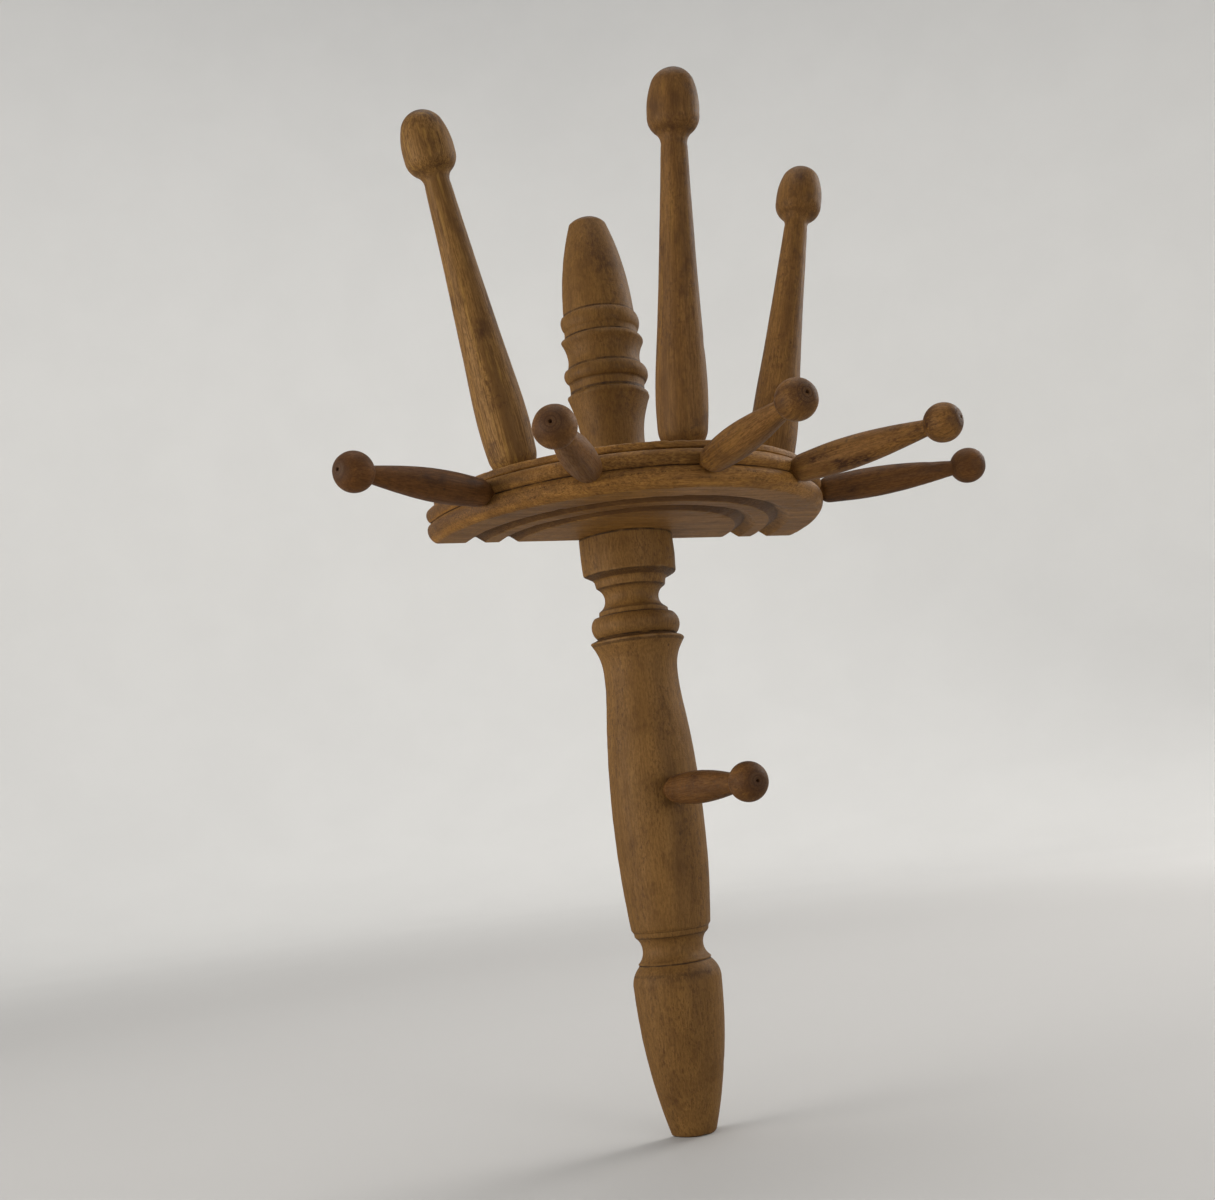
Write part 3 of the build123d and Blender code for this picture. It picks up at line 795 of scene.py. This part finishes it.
def make_shelf():
    profile = box_profile(SHELF, "shelf", closed=True)
    piece = half_turning("shelf_moulded", profile, SHELF_COLUMNS)
    piece["split"] = True
    holes = [hole_cutter(n, SHORT_HOLE) for n in SHORT_PEGS if n != "low_peg"]
    holes += [hole_cutter(n, TALL_HOLE) for n in TALL_PEGS]
    cut(piece, holes)
    weather(piece, profile, 8, out_of_round=0.0, waviness=0.18, dents=24, chip=0.35)
    stain(
        piece,
        (
            ((-80, -50, 3), 10, 4, 0.4),
            ((-52, -82, 10), 13, 5, 0.55),
            ((-36, -90, 10), 14, 6, 0.70),
            ((-18, -96, 10), 13, 5, 0.65),
            ((6, -98, 10), 13, 5, 0.65),
            ((40, -89, 11), 12, 5, 0.50),
            ((-70, -68, 8), 9, 3, 0.6),
            ((85, -45, 14), 8, 3, 0.6),
        ),
    )
    finish_mesh(piece)
    # the quirk and crease lines are part dirt, part painted shade; the dotted lines lower down are tear-out
    lines = (
        (17.7, 0.5, 0.9, 0.6),
        (9.5, 0.45, 0.9, 0.0),
        (6.4, 0.5, 0.6, 1.0),
        (3.1, 0.5, 0.5, 1.0),
    )
    # dark bands on the inner walls of the two grooves underneath: painted shade
    rings = ((55.3, 60.5, 0.03, 3.1, 0.62), (71.9, 77.1, 0.03, 3.1, 0.62))
    # the shelf's wood colours are made paler than the other pieces': painted light standing in for the light its
    # underside gets from below
    light, dark = shade(LIGHT, 1.58, 1.50, 1.27), shade(DARK, 1.35, 1.28, 1.15)
    material = beech("shelf_beech", light, dark, 2.2, along="X", fleck=0.45, streak=0.55, lines=lines, rings=rings)
    settle(piece, "shelf", material)


# ---------------------------------------------------------------- the nine pegs
SHORT_COLUMNS, TALL_COLUMNS = 60, 68  # faces round a peg
PEG_FLECK = 0.6
PEG_STAINS = 9  # dark spots on each peg
# dark rings that the lathe left on a short peg's end: inner and outer radius, depth below the end, strength
TURNED_END = ((-1.0, 1.0, 3, 0.95), (1.8, 2.6, 3, 0.80), (3.6, 4.4, 4, 0.55), (-1.0, 7.0, 5, 0.25))
# name: material seed, colour factors, streakiness
SHORT_LOOKS = {
    "rim_peg_far_left": (3.1, (0.66, 0.52, 0.42), 0.5),
    "rim_peg_left": (3.7, (0.82, 0.72, 0.65), 0.5),
    "rim_peg_middle": (4.2, (1.05, 0.97, 0.86), 0.6),
    "rim_peg_right": (4.9, (1.13, 1.05, 0.94), 0.5),
    "rim_peg_far_right": (5.3, (0.70, 0.58, 0.50), 0.5),
    "low_peg": (5.9, (0.74, 0.64, 0.58), 0.5),
}
TALL_LOOKS = {
    "tall_peg_left": (6.4, (1.18, 1.20, 1.15), 0.85),
    "tall_peg_middle": (7.1, (0.90, 0.86, 0.82), 0.55),
    "tall_peg_right": (7.8, (1.02, 0.98, 0.90), 0.55),
}


def make_pegs(points, looks, columns, rings=()):
    """All the pegs of one pattern, each laid along its CAD node's own axis."""
    for name, (seed, factors, streak) in looks.items():
        axis = peg_axes[name]
        top, out = (axis.high - axis.low) / MM, 0.8 * axis.radius / MM
        profile = Profile(points).fit(axis.radius, 0, axis.high - axis.low)
        piece = full_turning(name + "_turned", profile, columns)
        weather(piece, profile, int(seed * 10), out_of_round=0.07, waviness=0.12, dents=5, chip=0.12)
        rng = random.Random(int(seed * 100))
        spots = []
        for _ in range(PEG_STAINS):
            turn, up = rng.uniform(0, math.tau), rng.uniform(12, top - 5)
            at = (out * math.cos(turn), out * math.sin(turn), up)
            spots.append((at, rng.uniform(2.0, 4.5), rng.uniform(3, 10), rng.uniform(0.9, 1.8)))
        stain(piece, spots)
        finish_mesh(piece)
        piece.matrix_world = axis.matrix(seed)
        light, dark = shade(LIGHT, *factors), shade(DARK, *factors)
        marks = [(inner, outer, top - deep, top + 1, strength) for inner, outer, deep, strength in rings]
        looks_of = {"streak": streak, "fleck": PEG_FLECK, "blotch": 0.6, "gilt": 0.6 * streak, "rings": marks}
        material = beech(name + "_beech", light, dark, seed, **looks_of)
        settle(piece, name, material)


def dress_hardware():
    """The plates and screws keep their CAD meshes and get a material."""
    material = zinc_steel("zinc_steel")
    for name in ("upper_hanger_plate", "lower_hanger_plate", "hanger_screws"):
        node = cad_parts[name]
        node.data.materials.clear()
        node.data.materials.append(material)


make_spindle()
make_finial()
make_shelf()
make_pegs(SHORT_PEG, SHORT_LOOKS, SHORT_COLUMNS, TURNED_END)
make_pegs(TALL_PEG, TALL_LOOKS, TALL_COLUMNS)
dress_hardware()


# ---------------------------------------------------------------- stage, lights and camera
FLOOR_FLAT = 1.7  # m, radius of the flat floor
WALL_BEND = 0.8  # m, radius of the bend up into the wall
WALL_HEIGHT = 2.4  # m above the floor
STAGE_COLUMNS = 96  # faces round the stage
FLOOR_COLOUR = (0.47, 0.462, 0.452, 1)
WALL_COLOUR = (0.82, 0.815, 0.80, 1)
CLOUD_COLOUR = (0.40, 0.40, 0.39, 1)  # faint unevenness of the paper
PALING_STARTS = 0.8  # m from the rack, where the floor begins to turn into the paler wall; the paling is part painted light


def make_stage(floor):
    """A round pale studio: flat floor that bends up into a wall on every side."""
    side = [(0.0, 0.0), (FLOOR_FLAT, 0.0)]
    side += [
        (FLOOR_FLAT + WALL_BEND * math.sin(a), WALL_BEND * (1 - math.cos(a)))
        for a in np.linspace(0, HALF_PI, 13)[1:]
    ]
    side.append((FLOOR_FLAT + WALL_BEND, WALL_HEIGHT))
    turns = np.arange(STAGE_COLUMNS) * math.tau / STAGE_COLUMNS
    verts = [(r * math.cos(t), r * math.sin(t), floor + z) for r, z in side for t in turns]
    faces = []
    for i in range(len(side) - 1):
        a, b = i * STAGE_COLUMNS, (i + 1) * STAGE_COLUMNS
        for k in range(STAGE_COLUMNS):
            after = (k + 1) % STAGE_COLUMNS
            faces.append((a + k, a + after, b + after, b + k))
    studio = new_object("studio", verts, faces)
    studio.data.polygons.foreach_set("use_smooth", [True] * len(studio.data.polygons))
    g = Graph("pale_paper")
    place = g.node("TexCoord").outputs["Object"]
    cloud = g.noise(place, (6, 6, 6), 3.0)
    away = g.node("VectorMath", {0: g.stretch(place, (1, 1, 0))}, operation="LENGTH").outputs["Value"]
    # the floor pales outward into the wall: part the paper's darker floor, part painted light that evens out the
    # shade on the far floor
    wall_tone_and_painted_light = g.fade(away, PALING_STARTS, FLOOR_FLAT + 0.6 * WALL_BEND)
    colour = g.blend(wall_tone_and_painted_light, FLOOR_COLOUR, WALL_COLOUR)
    colour = g.blend(g.fade(cloud, 0.3, 0.7, 0.0, 0.04), colour, CLOUD_COLOUR)
    studio.data.materials.append(g.surface(colour, 0.75, cloud, (0.05, 0.001), Specular_IOR_Level=0.2))


def soft_light(name, place, aim, size, watts, colour, spread=math.pi):
    """A round area lamp; size in m, spread in radians, narrower to keep its light off the floor."""
    light = bpy.data.lights.new(name, "AREA")
    light.spread = spread
    light.shape = "DISK"
    light.size = size
    light.energy = watts
    light.color = colour
    lamp = bpy.data.objects.new(name, light)
    lamp.location = place
    lamp.rotation_euler = (Vector(aim) - Vector(place)).to_track_quat("-Z", "Y").to_euler()
    bpy.context.scene.collection.objects.link(lamp)


def make_world(strength, colour):
    world = bpy.data.worlds.new("pale_room")
    world.use_nodes = True
    world.node_tree.nodes["Background"].inputs["Color"].default_value = colour
    world.node_tree.nodes["Background"].inputs["Strength"].default_value = strength
    bpy.context.scene.world = world


# from the fit of the rack's outline to the photo
CAMERA_AT = Vector((-0.26348, -0.57637, -0.13464))
CAMERA_RIGHT = Vector((0.91823, -0.37967, -0.11274))
CAMERA_UP = Vector((0.03975, -0.19486, 0.98002))
CAMERA_LENS = 38.618  # mm
SENSOR_WIDTH = 36.0  # mm


def make_camera():
    camera = bpy.data.objects.new("camera", bpy.data.cameras.new("camera"))
    camera.data.lens = CAMERA_LENS
    camera.data.sensor_width = SENSOR_WIDTH
    camera.data.clip_start = 0.01
    back = CAMERA_RIGHT.cross(CAMERA_UP).normalized()
    right = CAMERA_RIGHT.normalized()
    turn = Matrix((right, back.cross(right), back)).transposed().to_4x4()
    camera.matrix_world = Matrix.Translation(CAMERA_AT) @ turn
    bpy.context.scene.collection.objects.link(camera)
    bpy.context.scene.camera = camera


make_stage(cad_box[0].z)
make_world(0.37, (0.97, 0.98, 1.0, 1))
soft_light("left", (-1.4, 0.1, 0.15), (0, -0.05, 0.0), 0.8, 5.9, (1.0, 0.97, 0.92), 2.2)
soft_light("low_left", (-1.1, -0.25, -0.16), (0, -0.05, 0.08), 0.2, 0.45, (1.0, 0.97, 0.92), 1.0)
soft_light("right", (1.6, 0.1, 0.8), (0, -0.05, 0.0), 1.0, 17, (1.0, 0.98, 0.95))
soft_light("front", (0.35, -1.2, -0.06), (0, 0, 0), 0.4, 1.15, (1.0, 0.98, 0.94), 1.6)
soft_light("wall", (0.3, 0.3, 1.6), (0.3, 2.4, -0.3), 1.4, 15, (1.0, 0.985, 0.96))
soft_light("top", (0.0, -0.3, 1.7), (0, -0.05, 0), 1.2, 5, (1.0, 0.99, 0.97))
bpy.context.scene.view_settings.view_transform = "Standard"
make_camera()
